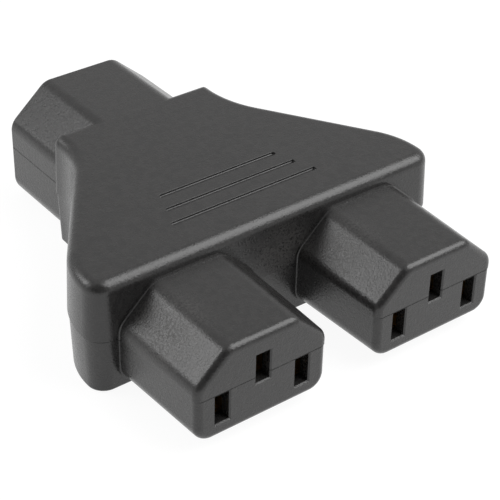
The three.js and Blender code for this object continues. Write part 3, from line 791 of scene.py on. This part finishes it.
def metal(name, colour, dull, roughness):
    """Metal with stains. Its roughness is the given one, less the drop, plus the
    coarse noise times the spread, so that it varies round the given value."""
    made, tree, shader = material(name)
    marks = use(tree, SCUFFS, Amount=1.0)
    texture = use(tree, GRAIN, **METAL_GRAIN)
    tree.links.new(mix_colour(tree, marks.outputs["Mask"], colour, dull), shader.inputs["Base Color"])
    spread = math_node(tree, "MULTIPLY", texture.outputs["Tone"], METAL_SPREAD)
    tree.links.new(math_node(tree, "ADD", spread, roughness - METAL_DROP), shader.inputs["Roughness"])
    shader.inputs["Metallic"].default_value = 1
    bump(tree, shader, texture.outputs["Height"], METAL_BUMP_STRENGTH, METAL_BUMP)
    return made


NICKEL = metal("nickel_plate", (0.62, 0.6, 0.57), (0.4, 0.38, 0.35), 0.22)
# The brass colour is darker than real brass: painted shade for the contacts deep in the slots.
SLOT_SHADE_BRASS = metal("brass_darkened_as_slot_shade", (0.6, 0.44, 0.18), (0.36, 0.25, 0.1), 0.32)
print("metals:", NICKEL.name, "and", SLOT_SHADE_BRASS.name)

# %% [markdown]
# Every piece now gets its finish. The pieces inside keep the model's own shapes,
# which are right as they are, so only their materials change. The nodes' names say
# which is which.

# %% Finishes on the pieces
INSULATORS = ("pin_block", "bar_separator")
REPLACED = ("upper_shell", "lower_shell")


def dress(piece, finish):
    """The piece's only material becomes this finish."""
    piece.data.materials.clear()
    piece.data.materials.append(finish)


dress(upper_piece, HOUSING)
dress(lower_piece, HOUSING)
for name, node in nodes.items():
    if name in REPLACED:
        continue
    if name in INSULATORS:
        dress(node, INSULATION)
    elif name.endswith("_pin"):
        dress(node, NICKEL)
    else:
        dress(node, SLOT_SHADE_BRASS)
print("dressed", len(nodes) - len(REPLACED), "nodes and the two housing pieces")

# %% [markdown]
# The adapter lies on a white table. The table is white to the camera and in
# reflections, and it keeps a faint shadow of the object. It could be lit until it
# clips, but then the object would be lit too much with it. So its whiteness is a
# glow that only camera, glossy and transmission rays see.

# %% Table
TABLE_PALE = (0.8, 0.8, 0.8, 1)
TABLE_FAINT = (0.12, 0.12, 0.12, 1)
TABLE_GLOW = 0.93
TABLE_HALF, TABLE_Z = 3000, -0.02


def stage_material():
    """White to the camera and in gloss, with the contact shadow kept: a glow of
    most of the white, and a faint diffuse surface for the rest."""
    made, tree, shader = material("table")
    path = tree.nodes.new("ShaderNodeLightPath")
    seen = math_node(tree, "MAXIMUM", path.outputs["Is Camera Ray"], path.outputs["Is Glossy Ray"])
    seen = math_node(tree, "MAXIMUM", seen, path.outputs["Is Transmission Ray"])
    shader.inputs["Base Color"].default_value = TABLE_PALE
    shader.inputs["Roughness"].default_value = 1
    shader.inputs["Specular IOR Level"].default_value = 0
    faint = tree.nodes.new("ShaderNodeBsdfDiffuse")
    faint.inputs["Color"].default_value = TABLE_FAINT
    glow = tree.nodes.new("ShaderNodeEmission")
    glow.inputs["Strength"].default_value = TABLE_GLOW
    both = tree.nodes.new("ShaderNodeAddShader")
    tree.links.new(faint.outputs[0], both.inputs[0])
    tree.links.new(glow.outputs[0], both.inputs[1])
    choice = tree.nodes.new("ShaderNodeMixShader")
    tree.links.new(seen, choice.inputs[0])
    tree.links.new(shader.outputs[0], choice.inputs[1])
    tree.links.new(both.outputs[0], choice.inputs[2])
    tree.links.new(choice.outputs[0], tree.nodes["Material Output"].inputs["Surface"])
    return made


table_corners = np.array([(-1, -1), (1, -1), (1, 1), (-1, 1)]) * TABLE_HALF
floor = mesh_object("floor", np.column_stack([table_corners, np.full(4, TABLE_Z)]), [(0, 1, 2, 3)])
floor.data.materials.append(stage_material())
print("table is", 2 * TABLE_HALF, "mm wide")

# %% [markdown]
# Black plastic shows its form by what it reflects. One softbox stands high on the
# front right and draws the light band along the body's front edge, and a smaller
# one on the back left lights the noses' shoulders. The sky is a plain grey that is
# darker on the front left, so that rounded corners there go dark, as in the
# photograph. All levels were set by comparing tones with it.

# %% Light
DARK_SIDE = (-0.505, -0.647, 0.571)
DARK_RANGE = (0.55, 0.92)
SKY_LIGHT, SKY_DROP = 0.58, 0.52
LAMP_TARGET = (0, 0, 10)


def sky():
    """White to camera and transmission rays. Otherwise the plain light less the drop
    times the dark share, which grows with the product of a direction and the dark
    side's."""
    world = bpy.data.worlds.new("sky")
    world.use_nodes = True
    tree = world.node_tree
    back = tree.nodes["Background"]
    path = tree.nodes.new("ShaderNodeLightPath")
    seen = math_node(tree, "MAXIMUM", path.outputs["Is Camera Ray"], path.outputs["Is Transmission Ray"])
    direction = tree.nodes.new("ShaderNodeTexCoord")
    towards = tree.nodes.new("ShaderNodeVectorMath")
    towards.operation = "DOT_PRODUCT"
    towards.inputs[1].default_value = DARK_SIDE
    tree.links.new(direction.outputs["Generated"], towards.inputs[0])
    dark = ramp(tree, towards.outputs["Value"], *DARK_RANGE)
    grey = math_node(tree, "SUBTRACT", SKY_LIGHT, math_node(tree, "MULTIPLY", dark, SKY_DROP))
    strength = math_node(tree, "MAXIMUM", seen, grey)
    back.inputs["Color"].default_value = (1, 1, 1, 1)
    tree.links.new(strength, back.inputs["Strength"])
    bpy.context.scene.world = world


def lamp(name, place, size, power):
    """A square area lamp that faces the target: its back direction is its place less
    the target, and its side is level. Place and size are in millimetres."""
    data = bpy.data.lights.new(name, "AREA")
    data.size = size * MM
    data.energy = power
    made = bpy.data.objects.new(name, data)
    back = np.array(place, float) - np.array(LAMP_TARGET, float)
    back /= np.linalg.norm(back)
    side = np.cross((0, 0, 1), back)
    side /= np.linalg.norm(side)
    made.matrix_world = placed(side, np.cross(back, side), back, place)
    bpy.context.scene.collection.objects.link(made)
    print(name, "at", place, "with", power, "W")


sky()
lamp("high_softbox", (190, -140, 320), 340, 1.35)
lamp("left_softbox", (-250, 215, 225), 180, 0.4)
bpy.context.scene.view_settings.view_transform = "Standard"
